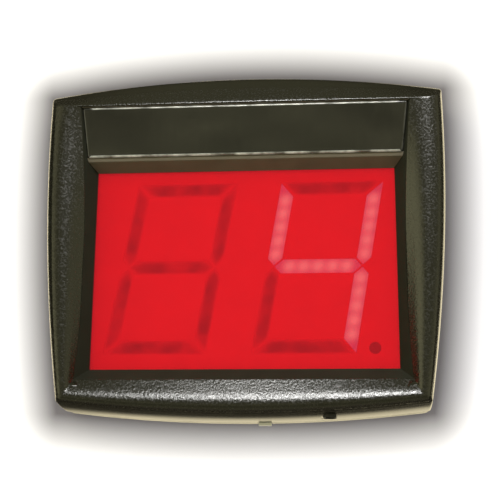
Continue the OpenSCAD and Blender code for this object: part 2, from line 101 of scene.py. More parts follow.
class Wire:
    """One output of a shader node. Arithmetic on wires and numbers adds Math nodes."""

    def __init__(self, tree, socket=None):
        self.tree, self.socket = tree, socket

    def node(self, kind, settings=None, values=None, out=0):
        """Adds a node of that kind: its settings first, with a ramp's stops, then numbers or wires."""
        made = self.tree.nodes.new("ShaderNode" + kind)
        settings = dict(settings or {})
        stops = settings.pop("stops", ())
        for name, value in settings.items():
            setattr(made, name, value)
        for i, (at, colour) in enumerate(stops):
            stop = made.color_ramp.elements[i] if i < 2 else made.color_ramp.elements.new(at)
            stop.position, stop.color = at, (*colour, 1.0)
        for name, value in (values or {}).items():
            if isinstance(value, Wire):
                self.tree.links.new(value.socket, made.inputs[name])
            elif isinstance(value, tuple) and made.inputs[name].type == "RGBA":
                made.inputs[name].default_value = (*value, 1.0)
            else:
                made.inputs[name].default_value = value
        return Wire(self.tree, made.outputs[out])

    def maths(self, operation, *values):
        return self.node("Math", {"operation": operation}, dict(enumerate(values)))

    def __add__(self, other):
        return self.maths("ADD", self, other)

    def __mul__(self, other):
        return self.maths("MULTIPLY", self, other)

    def __sub__(self, other):
        return self.maths("SUBTRACT", self, other)

    def __rsub__(self, other):
        return self.maths("SUBTRACT", other, self)

    __radd__, __rmul__ = __add__, __mul__

    def between(self, low, high):
        """0 below low, 1 above high, and an even slope between."""
        return self.node("MapRange", {"clamp": True}, {"Value": self, "From Min": low, "From Max": high})

    def mix(self, low, high):
        """The colour low where this wire is 0 and the colour high where it is 1."""
        return self.node("Mix", {"data_type": "RGBA"}, {0: self, 6: low, 7: high}, out=2)

    def noise(self, size, detail=2.0, roughness=0.5):
        """Cloudy noise from 0 to 1 on this wire's coordinates, its features about size metres across."""
        return self.node("TexNoise", {}, {"Vector": self, "Scale": 1 / size, "Detail": detail,
                                          "Roughness": roughness})

    def cells(self, size, feature="F1", randomness=1.0):
        """Distance from the middle of irregular cells, about size metres across."""
        return self.node("TexVoronoi", {"feature": feature}, {"Vector": self, "Scale": 1 / size,
                                                              "Randomness": randomness})

    def stretched(self, x, y, z):
        """These coordinates, multiplied along each axis."""
        return self.node("Mapping", {}, {"Vector": self, "Scale": (x, y, z)})

    def bump(self, depth, strength=1.0):
        """The normal of a surface raised by this wire times depth, in metres."""
        return self.node("Bump", {}, {"Height": self, "Distance": depth, "Strength": strength})


def material(name, shade, **constants):
    """A Principled material. shade takes the object coordinates and gives the sockets that vary over the
    surface, and constants are set straight on theirs, with _ for a space in the socket's name."""
    made = bpy.data.materials.new(name)
    made.use_nodes = True
    shader = made.node_tree.nodes["Principled BSDF"]
    for socket, value in constants.items():
        value = (*value, 1.0) if isinstance(value, tuple) else value
        shader.inputs[socket.replace("_", " ")].default_value = value
    varying = shade(Wire(made.node_tree).node("TexCoord", out="Object"))
    for socket, value in varying.items():
        made.node_tree.links.new(value.socket, shader.inputs[socket])
    return made


def painted(paint):
    """Flat paint with a faint cloudiness."""
    return lambda place: {"Base Color": place.noise(0.4).mix(tuple(0.97 * c for c in paint), paint)}


def sheet(name, corners):
    """One flat stage face through four corners."""
    mesh = bpy.data.meshes.new(name)
    mesh.from_pydata(corners, [], [(0, 1, 2, 3)])
    made = bpy.data.objects.new(name, mesh)
    bpy.context.scene.collection.objects.link(made)
    return made


wall = sheet("wall", [(-wall_half, wall_gap, -floor_drop), (wall_half, wall_gap, -floor_drop),
                      (wall_half, wall_gap, wall_half), (-wall_half, wall_gap, wall_half)])


def with_painted_shadow(place):
    """Pale paint with a painted shadow, darkened by its distance beyond the outline. Distances are in
    millimetres.
    """
    x, z = (place.node("SeparateXYZ", {}, {"Vector": place}, out=i) * (1 / mm) - halo_middle[i // 2]
            for i in (0, 2))
    past = lambda distance: distance.maths("MAXIMUM", distance, 0.0)
    across, up = x * (1 / halo_half[0]), z * (1 / halo_half[1])
    side_edge = halo_half[0] + halo_lean * z + halo_bows[1] * (1 - up * up)
    side = past(x.maths("ABSOLUTE", x) - side_edge)
    top = past(z - halo_half[1] - halo_bows[0] * (1 - across * across))
    low = past(0 - z - halo_half[1] - halo_bows[2] * (1 - across * across))
    distance = side.maths("SQRT", side * side + (top + low) * (top + low))
    # Painted shadow: near black inside the outline, fading to the wall's paint by halo_reach beyond it.
    return {"Base Color": distance.between(-halo_start, halo_reach).mix((0.01, 0.0, 0.004), wall_paint)}


wall_material = material("wall_paint", with_painted_shadow, Roughness=0.9)
paint = Wire(wall_material.node_tree, wall_material.node_tree.nodes["Principled BSDF"].outputs[0])
clear = paint.node("BsdfTransparent")
facing = paint.node("NewGeometry", out="Backfacing")
seen = paint.node("MixShader", {}, {0: facing, 1: paint, 2: clear})
wall_material.node_tree.links.new(seen.socket, wall_material.node_tree.nodes["Material Output"].inputs[0])
wall.data.materials.append(wall_material)
floor = sheet("floor", [(-wall_half, -wall_half, -floor_drop), (wall_half, -wall_half, -floor_drop),
                        (wall_half, wall_half, -floor_drop), (-wall_half, wall_half, -floor_drop)])
floor.data.materials.append(material("floor_paint", painted(floor_paint), Roughness=0.8))
wall.visible_shadow = wall.visible_glossy = floor.visible_glossy = False


# Light: a soft panel, high in front, draws the bright line along the bottom crest. Round it is a dim warm
# tent, so that black plastic stays black. The tent is brighter on both sides, straight below, in a few
# streaks at the display's own height, and behind, where the outer edges reflect it. A screen in front
# lights the wall and the red window evenly, and a lamp behind lights the back. Pale paper closes off the
# room, and a black card keeps the tent's left side out of the display's left edge.
tent_level, tent_left, tent_right, tent_low, tent_behind = 0.28, 1.5, 0.40, 0.3, 0.05
tent_streaks, tent_rim, tent_under = 1.5, 2.2, 1.35
tent_warm, rim_warm = (1.0, 0.95, 0.56), (1.0, 0.88, 0.58)
lamp_white, screen_white = (1.0, 0.99, 0.97), (0.97, 0.98, 1.0)
# Lamps: name, place and the point that it faces, width, height, power
lamps = [("panel", (0.16, -0.88, 0.74), (0.09, 0.0, 0.0), 0.78, 0.10, 20.0),
         ("screen", (0.0, -1.3, 0.0), (0.0, 0.0, 0.0), 2.0, 2.0, 24.0),
         ("back_lamp", (0.7, 1.6, 1.0), (0.0, 0.0, 0.0), 1.2, 1.2, 14.0)]
paper_far, paper_glow = 2.6, 0.88
card_x, card_y, card_z = -0.135, (-0.060, -0.028), 0.13

world = bpy.data.worlds.new("tent")
world.use_nodes = True
bpy.context.scene.world = world
bpy.context.scene.view_settings.view_transform = "Standard"
toward = Wire(world.node_tree).node("TexCoord", out="Generated")
east, north, high = (toward.node("SeparateXYZ", {}, {"Vector": toward}, out=i) for i in range(3))
# Each brighter part fades in between two values of a direction's share to the east, to the wall or upwards.
behind = north.between(-0.1, 0.3)
rim = north.between(0.62, 0.76) * high.between(-0.1, 0.1)
under = north.between(0.935, 0.965) * high.between(-0.35, -0.25) * (1 - high.between(-0.1, 0.1))
left = (0 - east).between(0.5, 0.8) * (0 - north).between(0.0, 0.15)
low = (0 - high).between(0.6, 0.9)
streaks = (toward.stretched(0.6, 0, 6).noise(0.05, 2.0).between(0.4, 0.75)
           * high.between(-0.16, -0.06) * (1 - high.between(0.06, 0.12)))
front = tent_level + tent_left * left + tent_right * east.between(0.5, 0.8) + tent_streaks * streaks
tent = front * (1 - behind) + tent_behind * behind + tent_rim * rim + tent_under * under + tent_low * low
background = world.node_tree.nodes["Background"]
world.node_tree.links.new(tent.socket, background.inputs["Strength"])
world.node_tree.links.new(behind.mix(tent_warm, rim_warm).socket, background.inputs["Color"])
for lamp_name, place, target, width, height, power in lamps:
    lamp = bpy.data.objects.new(lamp_name, bpy.data.lights.new(lamp_name, "AREA"))
    lamp.data.shape, lamp.data.size, lamp.data.size_y = "RECTANGLE", width, height
    lamp.data.energy, lamp.data.color = power, screen_white if lamp_name == "screen" else lamp_white
    lamp.location = place
    lamp.rotation_euler = Vector(np.subtract(target, place)).to_track_quat("-Z", "Y").to_euler()
    lamp.visible_camera = False
    bpy.context.scene.collection.objects.link(lamp)
bpy.data.lights["screen"].use_shadow = False
bpy.data.objects["screen"].visible_glossy = False


def shining(lamp_name, lit_objects, state="INCLUDE"):
    """Keeps a lamp to some objects, or off them."""
    group = bpy.data.collections.new(lamp_name + "_group")
    for i, lit_object in enumerate(lit_objects):
        group.objects.link(lit_object)
        group.collection_objects[i].light_linking.link_state = state
    bpy.data.objects[lamp_name].light_linking.receiver_collection = group
    return group


f = paper_far
paper_corners = {
    "paper_front": [(-f, -f, -f), (f, -f, -f), (f, -f, f), (-f, -f, f)],
    "paper_left": [(-f, -f, -f), (-f, f, -f), (-f, f, f), (-f, -f, f)],
    "paper_right": [(f, -f, -f), (f, f, -f), (f, f, f), (f, -f, f)],
    "paper_top": [(-f, -f, f), (f, -f, f), (f, f, f), (-f, f, f)],
    "paper_back": [(-f, f, -f), (f, f, -f), (f, f, f), (-f, f, f)],
}
paper_material = material("pale_paper", painted((0.9, 0.9, 0.9)), Emission_Strength=paper_glow,
                          Emission_Color=(1.0, 1.0, 1.0))
for paper_name, corners in paper_corners.items():
    paper_sheet = sheet(paper_name, corners)
    paper_sheet.data.materials.append(paper_material)
    paper_sheet.visible_diffuse = paper_sheet.visible_glossy = paper_sheet.visible_shadow = False
# Only reflections see the card.
black_card = sheet("black_card", [(card_x, card_y[0], -card_z), (card_x, card_y[0], card_z),
                                  (card_x, card_y[1], card_z), (card_x, card_y[1], -card_z)])
black_card.data.materials.append(material("black_felt", painted((0.02, 0.02, 0.02)), Roughness=0.9))
black_card.visible_camera = black_card.visible_diffuse = black_card.visible_shadow = False


# Front bezel: one moulding of black ABS. Its outer edge rolls from the rim over a crest and slopes into a
# sunk pocket round the window, with a seat for the header strip above it. The crest and the slope are
# spark-eroded, and the outer roll is smooth and glossy. The pocket is smooth and dull. Along the top, the
# wall over the strip, the ledge under it and the bevel over the window are painted paler: painted light
# for the light they catch.
win_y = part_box("filter_tape")[0].y / mm
window_low, window_high = (np.array(c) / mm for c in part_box("window_filter"))
filter_margin = 4.0
win_w = window_high[0] - window_low[0] - 2 * filter_margin
win_h = window_high[2] - window_low[2] - 2 * filter_margin
win_z = (window_high[2] + window_low[2]) / 2
body_depth = -cad_low.y / mm
roll_depth = 11.0
cover_depth = 10.0
draft_out = 1.0
wall_t, hollow_t = 2.6, 10.2
lean, lean_low = 0.6, 0.71
rim_top, rim_low = (115.2, 90.0), (103.6, -93.2)
rim_bows = (9.6, 4.3, 6.5)
crest_top, crest_low = (105.8, 81.1), (97.6, -88.8)
crest_bows = (0.0, 0.9, 5.4)
corner_r = 1.6
ledge_t = 7.8
strip_low, strip_top = 65.4, 94.6
seat_low_t, seat_top_t = 8.0, 13.0
rim_t = body_depth - roll_depth + win_y
crest_t = body_depth + win_y
parting_t = cover_depth + win_y
pocket_dip = -5.0
edge_steps, corner_steps, ease_steps = 90, 8, 5
support, broad = 0.5, 5.0
sill_t, sill_power, brow_round = -16.0, 2.3, 0.12
roll_end, crest_reach, grain_start = np.radians(68.5), 8.0, np.radians(54)
# Finishes along the top edge, and elsewhere. The last is painted light: paler along the top edge only,
# dull elsewhere.
smooth, grained, dull, painted_light_pale = (0, 0), (1, 1), (2, 2), (3, 2)
clip_rise = win_h / 2 + 6.6
# Bosses and their pilot holes: x, z, radius of the boss and from which depth to which, then the same of
# the hole
bosses = [(102.0, 78.0, 4.0, -41.0, -12.0, 1.25, -26.0, -11.0),
          (94.0, -85.5, 4.0, -41.0, -12.0, 1.25, -26.0, -11.0),
          (80.0, 74.0, 3.5, -39.0, -12.0, 1.1, -21.0, -11.0),
          (80.0, -80.5, 3.5, -33.0, -12.0, 1.1, -21.0, -11.0),
          (62.0, win_z + clip_rise, 2.4, win_y - 1, win_y + 3.5, 0.8, win_y - 3, win_y + 5),
          (62.0, win_z - clip_rise, 2.4, win_y - 1, win_y + 3.5, 0.8, win_y - 3, win_y + 5)]
cable_at, cable_slot, grommet_room, cable_cut_z = (48.2, -23.0), (5.0, 13.0), 2, (-110, -92)
bezel_black = (0.0070, 0.0068, 0.0040)
# The ledge colour is painted light: a paler black that stands in for the light on the top ledge and bevel.
pocket_black, ledge_painted_light = (0.014, 0.0145, 0.010), (0.095, 0.082, 0.060)


def outline(top, low, bows, dip, radius):
    """Closed outline through two corners and their mirror images, as rows of (x, height above the window's
    middle, depth t in front of win_y). Each edge is a straight run plus a bow of 4k(1 - k), cut back by the
    radius at both ends, and a quadratic Bezier turns each corner."""
    tips = np.array([(-top[0], *top[1:]), top, low, (-low[0], *low[1:])])
    ends = np.roll(tips, -1, axis=0)
    bulges = np.array([(0, bows[0], 0), (bows[1], 0, dip), (0, -bows[2], 0), (-bows[1], 0, dip)])
    across, down = radius / (top[0] + low[0]), radius / (top[1] - low[1])
    cut = np.array([across, down, across, down])[:, None]
    k = cut + (1 - 2 * cut) * np.linspace(0, 1, edge_steps)
    runs = (tips[:, None] + (ends - tips)[:, None] * k[..., None]
            + 4 * (k * (1 - k))[..., None] * bulges[:, None])
    s = np.linspace(0, 1, corner_steps + 1)[1:-1, None]
    last, following = runs[:, -1:], np.roll(runs[:, :1], -1, axis=0)
    turns = (1 - s) ** 2 * last + 2 * s * (1 - s) * ends[:, None] + s ** 2 * following
    return np.concatenate([runs, turns], axis=1).reshape(-1, 3)


def framed(share, brow, sill, d, t):
    """Outline between the rim and the crest, moved outwards by d, at depth t: part of the way in at the
    sides, at the top and at the bottom."""
    way = lambda share, low, high: low + (high - low) * share
    top = (way(share, rim_top[0], crest_top[0]) + d, way(brow, rim_top[1], crest_top[1]) - win_z + d, t)
    low = (way(share, rim_low[0], crest_low[0]) + d, way(sill, rim_low[1], crest_low[1]) - win_z - d, t)
    bows = [way(*each) for each in zip((brow, share, sill), rim_bows, crest_bows)]
    return outline(top, low, bows, 0, corner_r)


def rolled(angle, d, top_t):
    """Outline on the roll, from its start at 0 to the crest at a right angle, forward by sin(angle). The
    sides follow a quarter ellipse from the rim, and the bottom a flatter one that starts at sill_t. The top
    follows a hyperbola, a bevel with a small round at the rim. Behind the rim all lean out by the draft."""
    t = sill_t + (top_t - sill_t) * np.sin(angle)
    d = d + draft_out * np.clip((rim_t - t) / (rim_t - parting_t), 0, 1)
    forward, sill = np.maximum(t - rim_t, 0) / (top_t - rim_t), np.sin(angle)
    brow = (np.hypot(forward, brow_round) - brow_round) / (np.hypot(1, brow_round) - brow_round)
    return framed(1 - np.sqrt(1 - forward ** 2), brow, 1 - np.sqrt(1 - sill ** sill_power), d, t)


def on_walls(top_z, top_t, low_t, dip):
    """Outline that lies on the leaning walls round the window."""
    top = (win_w / 2 + lean * top_t, top_z, top_t)
    low = (win_w / 2 + lean_low * low_t, -win_h / 2 - lean_low * low_t, low_t)
    return outline(top, low, (0, lean * dip, 0), dip, 0.3)


def inside(x, top_z, top_t, low_z, low_t):
    """Straight outline of the bezel's hollow side."""
    return outline((x, top_z, top_t), (x, low_z, low_t), (0, 0, 0), 0, 1.0)


def eased(rings):
    """Rows of a closed tube of outlines, and the finish of each. A ring with a reach gives way to a
    quadratic Bezier that starts and ends that far from it, towards its neighbours, with a row just outside
    each end. Near a neighbour the reach is cut to a share of the way, before the ring and after it."""
    rows, finishes = [], []
    for i, (ring, reach, finish) in enumerate(rings):
        if reach == 0:
            rows.append(ring)
            finishes.append(finish)
            continue
        back, on = rings[i - 1][0] - ring, rings[(i + 1) % len(rings)][0] - ring
        back_l, on_l = np.linalg.norm(back, axis=1)[:, None], np.linalg.norm(on, axis=1)[:, None]
        back, on = back / back_l, on / on_l
        before, after = (0.33, 0.44) if reach < broad else (0.9, 0.6)
        a, b = ring + back * np.minimum(reach, before * back_l), ring + on * np.minimum(reach, after * on_l)
        steps = ease_steps if reach < broad else 2 * ease_steps
        rows.append(ring + back * np.minimum(reach + support, (before + 0.03) * back_l))
        for s in np.linspace(0, 1, steps):
            rows.append((1 - s) ** 2 * a + 2 * s * (1 - s) * ring + s ** 2 * b)
        rows.append(ring + on * np.minimum(reach + support, (after + 0.03) * on_l))
        finishes += [rings[i - 1][2]] * (steps // 2 + 1) + [finish] * (steps - steps // 2 + 1)
    return np.array(rows), np.array(finishes)


def solid(name, points, faces, body="case", slot=None, node=None, smooth_angle=40):
    """A piece of the display from points in millimetres and faces, smooth up to an angle in degrees. When a
    slot is given it rides on its body in place of its CAD node, which is hidden."""
    mesh = bpy.data.meshes.new(name)
    mesh.from_pydata((np.asarray(points) * mm).tolist(), [], faces)
    made = bpy.data.objects.new(name, mesh)
    bpy.context.scene.collection.objects.link(made)
    mesh.shade_smooth()
    mesh.set_sharp_from_angle(angle=np.radians(smooth_angle))
    if slot:
        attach(made, body)
        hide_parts(node)
    return made


def quads(rows, columns, wrap_rows=False):
    """Faces between neighbouring rows of a grid of points whose columns close on themselves."""
    i = np.arange(rows if wrap_rows else rows - 1)[:, None] * columns
    j = np.arange(columns)
    on, k = (i + columns) % (rows * columns), (j + 1) % columns
    return np.stack([i + j, i + k, on + k, on + j], axis=-1).reshape(-1, 4).tolist()


def rods(name, sizes, steps=32):
    """One mesh of rods along y, each (x, z, radius, low y, high y), closed by a flat face at both ends."""
    a = np.linspace(0, 2 * np.pi, steps, endpoint=False)
    points, faces = [], []
    for x, z, r, y0, y1 in sizes:
        n = len(points)
        for y in (y0, y1):
            points += np.stack([x + r * np.cos(a), np.full(steps, y), z + r * np.sin(a)], axis=1).tolist()
        faces += [[n + i for i in face] for face in quads(2, steps)]
        faces += [[n + i for i in range(steps)][::-1], [n + steps + i for i in range(steps)]]
    return solid(name, points, faces)


def slot_prism(name, x, y, width, length, z0, z1, steps=24):
    """An upright prism whose outline is a slot with round ends, its long side along y."""
    a = np.linspace(0, 2 * np.pi, 2 * steps, endpoint=False) + np.pi / (2 * steps)
    shift = np.where(np.sin(a) > 0, 1, -1) * (length - width) / 2
    ring = np.stack([x + width / 2 * np.cos(a), y + width / 2 * np.sin(a) + shift], axis=1)
    points = [(px, py, z) for z in (z0, z1) for px, py in ring]
    return solid(name, points, quads(2, 2 * steps) + [list(range(2 * steps))[::-1],
                                                      list(range(2 * steps, 4 * steps))])


def carve(piece, operation, tool):
    """Joins a tool to a piece or cuts it out of it, and removes the tool."""
    cut = piece.modifiers.new("carve", "BOOLEAN")
    cut.operation, cut.object, cut.solver = operation, tool, "EXACT"
    bpy.context.view_layer.update()
    made = bpy.data.meshes.new_from_object(piece.evaluated_get(bpy.context.evaluated_depsgraph_get()))
    piece.modifiers.clear()
    piece.data = made
    bpy.data.objects.remove(tool)


# Rings in order over the outside, the pocket and the hollow side: outline, reach of its rounded crease,
# and the finish from it to the next ring.
bezel_rings = [(framed(0, 0, 0, draft_out, parting_t), 0.35, smooth)]
bezel_rings += [(rolled(angle, 0, crest_t), 0.0, smooth if angle < grain_start else grained)
                for angle in np.linspace(0, roll_end, 28)]
bezel_rings += [
    (framed(1, 1, 1, 0, crest_t), crest_reach, grained),
    (on_walls(strip_top + 0.3, crest_t - 1, 9.4, pocket_dip), 0.35, painted_light_pale),
    (on_walls(strip_top, seat_top_t, 8.2, pocket_dip + 1), 0.25, dull),
    (on_walls(strip_low, seat_low_t, 6.8, 0), 0.1, painted_light_pale),
    (on_walls(strip_low - 0.15, seat_low_t + 0.7, 5.6, 0), 0.4, painted_light_pale),
    (on_walls(win_h / 2 + lean * ledge_t, ledge_t, 4, 0), 0.35, painted_light_pale),
    (on_walls(win_h / 2, 0, 0, 0), 0.2, dull),
    (inside(93.6, 66.2, 0, -66.6, 0), 0.2, dull),
    (inside(93.9, 68, 4, -68.4, 2), 0.0, dull),
    (inside(94.4, 91.6, 9.0, -69.4, 7), 0.2, dull),
]
bezel_rings += [(rolled(angle, -wall_t, hollow_t), 0.0, dull) for angle in np.linspace(np.pi / 2, 0, 7)]
bezel_rings.append((framed(0, 0, 0, draft_out - wall_t, parting_t), 0.2, dull))


def spark_eroded(colour, pit=1.0, depth=0.09):
    """Moulded black plastic. Where the grain attribute is 1 the surface is eroded into small pits, some
    rougher than others; where it is 0 it is smooth, with only a faint waviness."""
    def shade(place):
        grain = place.node("Attribute", {"attribute_name": "grain"}, out="Fac")
        pits = place.noise(pit * mm, 3.0, 0.6) + 0.6 * place.cells(1.3 * pit * mm)
        swell = place.noise(30 * mm)
        return {
            "Base Color": (place.noise(18 * mm) * 0.7 + place.noise(1.1 * mm) * 0.3).mix(
                tuple(0.82 * c for c in colour), tuple(1.2 * c for c in colour)),
            "Roughness": 0.15 + 0.04 * swell + 0.18 * grain * pits.between(0.65, 1.1),
            "Normal": (pits * grain + 0.05 * place.noise(3 * mm)).bump(depth * mm),
        }
    return shade


def dull_moulded(colour):
    """Smooth but dull moulded plastic with faint clouds."""
    dark, light = tuple(0.8 * c for c in colour), tuple(1.2 * c for c in colour)
    return lambda place: {
        "Base Color": place.noise(12 * mm).mix(dark, light),
        "Roughness": 0.5 + 0.1 * place.noise(20 * mm),
        "Normal": place.noise(2 * mm).bump(0.01 * mm),
    }


rows, row_finish = eased(bezel_rings)
on_top_edge = np.arange(rows.shape[1]) < edge_steps
finish = np.where(on_top_edge, row_finish[:, :1], row_finish[:, 1:]).reshape(-1)
points = np.stack([rows[..., 0], win_y - rows[..., 2], win_z + rows[..., 1]], axis=-1).reshape(-1, 3)
bezel_faces = [face[::-1] for face in quads(rows.shape[0], rows.shape[1], True)]
bezel = solid("bezel_moulding", points, bezel_faces, slot="bezel_plastic", node="front_bezel")
bezel.data.materials.append(material("black_abs_eroded", spark_eroded(bezel_black), IOR=1.5))
bezel.data.materials.append(material("black_abs_dull", dull_moulded(pocket_black), Specular_IOR_Level=0.04))
# Third colour: painted light, paler, on the wall over the strip, the ledge and the bevel along the top.
bezel.data.materials.append(material("black_abs_painted_light", dull_moulded(ledge_painted_light), Specular_IOR_Level=0.3))
corner = np.zeros(len(bezel.data.loops), int)
bezel.data.loops.foreach_get("vertex_index", corner)
grain = (finish == 1).astype(float)
bezel.data.attributes.new("grain", "FLOAT", "CORNER").data.foreach_set("value", grain[corner])
bezel.data.polygons.foreach_set("material_index", np.maximum(finish - 1, 0))
on_both_sides = [(side * x, *rest) for x, *rest in bosses for side in (-1, 1)]
carve(bezel, "UNION", rods("bosses", [boss[:5] for boss in on_both_sides]))
carve(bezel, "DIFFERENCE", rods("pilots", [boss[:2] + boss[5:] for boss in on_both_sides]))
cable_cut = slot_prism("cable_cut", *cable_at, *(size + grommet_room for size in cable_slot), *cable_cut_z)
carve(bezel, "DIFFERENCE", cable_cut)


# Rear cover: the black moulded pan that closes the case and lies against the wall, with two keyholes,
# four sunk holes for the case screws and a notch for the button. Its edges are broken by a small radius.
cover_black = (0.020, 0.0185, 0.012)


def softened(name, node, radius, body="case", segments=3):
    """A copy of a CAD node, its flat faces joined up again and its edges rounded, in that node's place."""
    made = bpy.data.objects.new(name, nodes[node].data.copy())
    bpy.context.scene.collection.objects.link(made)
    work = bmesh.new()
    work.from_mesh(made.data)
    bmesh.ops.remove_doubles(work, verts=work.verts, dist=1e-6)
    bmesh.ops.dissolve_limit(work, angle_limit=np.radians(0.3), verts=work.verts, edges=work.edges)
    work.to_mesh(made.data)
    work.free()
    made.data.shade_smooth()
    edge = made.modifiers.new("edge", "BEVEL")
    edge.width, edge.segments, edge.limit_method = radius * mm, segments, "ANGLE"
    edge.angle_limit = np.radians(30)
    made.modifiers.new("flat_faces", "WEIGHTED_NORMAL").weight = 100
    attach(made, body)
    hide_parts(node)
    return made


def coated(piece, *materials):
    """Puts materials on a piece in place of what it had."""
    piece.data.materials.clear()
    for one in materials:
        piece.data.materials.append(one)


def fine_plastic(colour, pit=0.5, depth=0.03, rough=0.42):
    """Moulded plastic with a fine all-over grain and faint clouds of colour."""
    def shade(place):
        clouds = place.noise(14 * mm) * 0.7 + place.noise(0.9 * mm) * 0.3
        return {
            "Base Color": clouds.mix(tuple(0.86 * c for c in colour), tuple(1.12 * c for c in colour)),
            "Roughness": rough - 0.05 + 0.1 * place.noise(22 * mm),
            "Normal": place.noise(pit * mm, 3.0).bump(depth * mm),
        }
    return shade


cover = softened("rear_cover_pan", "rear_cover", 0.4)
rear_group = shining("back_lamp", [cover])
coated(cover, material("black_abs_fine", fine_plastic(cover_black, rough=0.25), IOR=1.5))


# Header strip: a clear acrylic plate, its edges polished round, on a blank black card in the seat over
# the window. The sheet is a little wavy. Its polished edges carry a painted highlight, a pale colour and a
# glow in patches, full along the top and the bottom and weaker at the ends.
strip_edge, strip_back_edge, strip_corner = 1.1, 0.2, 1.4
strip_t, card_t, strip_clear = 1.6, 0.3, 0.12
seat_slope = np.arctan2(seat_top_t - seat_low_t, strip_top - strip_low)
seat_length = np.hypot(seat_top_t - seat_low_t, strip_top - strip_low)
strip_low_half = win_w / 2 + lean * seat_low_t - strip_clear
strip_top_half = win_w / 2 + lean * seat_top_t - strip_clear
strip_black = (0.006, 0.006, 0.005)
# Painted highlight on the polished edges: a pale colour and a glow.
strip_painted_highlight, strip_painted_glow = (0.42, 0.43, 0.40), (0.16, 0.16, 0.14)
card_black = (0.010, 0.010, 0.009)


def on_seat(d, n):
    """Outline of the strip drawn in by d, at height n over its sloping seat, as places in the display."""
    local = outline((strip_top_half - d, seat_length - strip_clear - d, n), (strip_low_half - d, d, n),
                    (0, 0, 0), 0, strip_corner)
    up = np.array([0, -np.sin(seat_slope), np.cos(seat_slope)])
    out = np.array([0, -np.cos(seat_slope), -np.sin(seat_slope)])
    foot = np.array([0, win_y - seat_low_t, win_z + strip_low])
    return foot + local[:, :1] * np.array([1, 0, 0]) + local[:, 1:2] * up + local[:, 2:] * out


turns = np.linspace(0, np.pi / 2, 8)
back_n, front_n = card_t, card_t + strip_t
strip_rings = [on_seat(strip_edge + inset, front_n) for inset in (2.0, 0.3)]
strip_rings += [on_seat(strip_edge * (1 - np.sin(a)), front_n - strip_edge * (1 - np.cos(a)))
                for a in turns]
strip_rings += [on_seat(0, back_n + strip_back_edge), on_seat(strip_back_edge, back_n)]
ring_points = len(strip_rings[0])
strip_faces = quads(len(strip_rings), ring_points)
last = (len(strip_rings) - 1) * ring_points
strip_faces += [list(range(ring_points))[::-1], list(range(last, last + ring_points))]
strip = solid("header_strip_plate", np.concatenate(strip_rings), strip_faces, slot="clear_strip",
              node="header_strip", smooth_angle=50)
# How much painted highlight each point of the strip gets: full on the rounded front edge, a quarter at the
# ends.
painted_edge_share = np.outer([0.0, 0.0, 0.6] + [1.0] * (len(turns) + 1),
                      np.where(abs(strip_rings[-1][:, 0]) < strip_low_half - 1, 1.0, 0.25)).ravel()
strip.data.attributes.new("edge", "FLOAT", "POINT").data.foreach_set("value", painted_edge_share)


def wavy_acrylic(place):
    """Clear sheet over black: nearly black, with slow waves across its width. Its polished edges get a
    painted
    highlight: a pale colour and a glow in patches.
    """
    edge = place.node("Attribute", {"attribute_name": "edge"}, out="Fac")
    waves = place.stretched(1, 0.15, 0.15).noise(9 * mm) + 0.25 * place.stretched(1, 0.1, 0.1).noise(3 * mm)
    patches = place.noise(7 * mm, 3.0).between(0.35, 0.7)
    return {
        # Painted highlight and painted glow where the edge attribute is high.
        "Base Color": (edge * edge * (0.25 + 0.75 * patches)).mix(strip_black, strip_painted_highlight),
        "Emission Color": (edge * edge * patches).mix((0.0, 0.0, 0.0), strip_painted_glow),
        "Roughness": 0.05 + 0.05 * place.noise(5 * mm) + 0.05 * edge,
        "Normal": waves.bump(0.06 * mm),
    }


def card(place):
    """Black card with short fibres."""
    fibres = place.stretched(1, 1, 5).noise(0.5 * mm)
    return {"Base Color": fibres.mix(card_black, tuple(2 * c for c in card_black)),
            "Roughness": 0.7 + 0.2 * fibres, "Normal": fibres.bump(0.02 * mm)}


def dressed(names, one):
    """Puts one material on CAD nodes, by their objects' slots."""
    for name in names:
        for place in nodes[name].material_slots:
            place.link = "OBJECT"
            place.material = one


coated(strip, material("clear_acrylic_on_black", wavy_acrylic, IOR=1.49, Emission_Strength=1.0))
dressed(["header_card"], material("black_card", card))


# Window filter: a red cast acrylic sheet behind the window, bedded on black foam tape and held at its
# edge by four plated clips. Most of the light goes through it twice, and its face is polished.
filter_tint = (0.97, 0.136, 0.168)
filter_red = (0.74, 0.037, 0.066)
filter_body = 0.20
tape_black = (0.012, 0.012, 0.012)
steel_grey = (0.58, 0.57, 0.55)


def polished(colour, rough=0.03):
    """Smooth coloured plastic with the faintest cloudiness."""
    return lambda place: {
        "Base Color": place.noise(40 * mm).mix(tuple(0.96 * c for c in colour), colour),
        "Roughness": rough + 0.02 * place.noise(25 * mm),
    }


def foam(place):
    """Closed-cell foam tape."""
    pores = place.cells(0.5 * mm)
    return {"Base Color": pores.mix(tape_black, tuple(1.8 * c for c in tape_black)),
            "Roughness": 0.85 + 0.1 * pores, "Normal": pores.bump(0.05 * mm)}


def plated(colour, rough=0.25, streak=(1, 1, 8)):
    """Plated metal with fine drawn lines along one axis and cloudy reflections."""
    def shade(place):
        lines = place.stretched(*streak).noise(1.2 * mm, 4.0)
        return {"Base Color": lines.mix(tuple(0.8 * c for c in colour), colour),
                "Roughness": rough + 0.15 * place.noise(2 * mm), "Normal": lines.bump(0.01 * mm)}
    return shade


filter_material = material("red_acrylic", polished(filter_red), IOR=1.5)
red = Wire(filter_material.node_tree, filter_material.node_tree.nodes["Principled BSDF"].outputs[0])
through = red.node("BsdfTransparent", {}, {"Color": filter_tint})
sheet_mix = red.node("MixShader", {}, {0: filter_body, 1: through, 2: red})
filter_out = filter_material.node_tree.nodes["Material Output"]
filter_material.node_tree.links.new(sheet_mix.socket, filter_out.inputs[0])
dressed(["window_filter"], filter_material)
dressed(["filter_tape"], material("foam_tape", foam))
steel = material("plated_steel", plated(steel_grey), Metallic=1.0)
dressed(["filter_clips", "clip_screws", "board_screws"], steel)


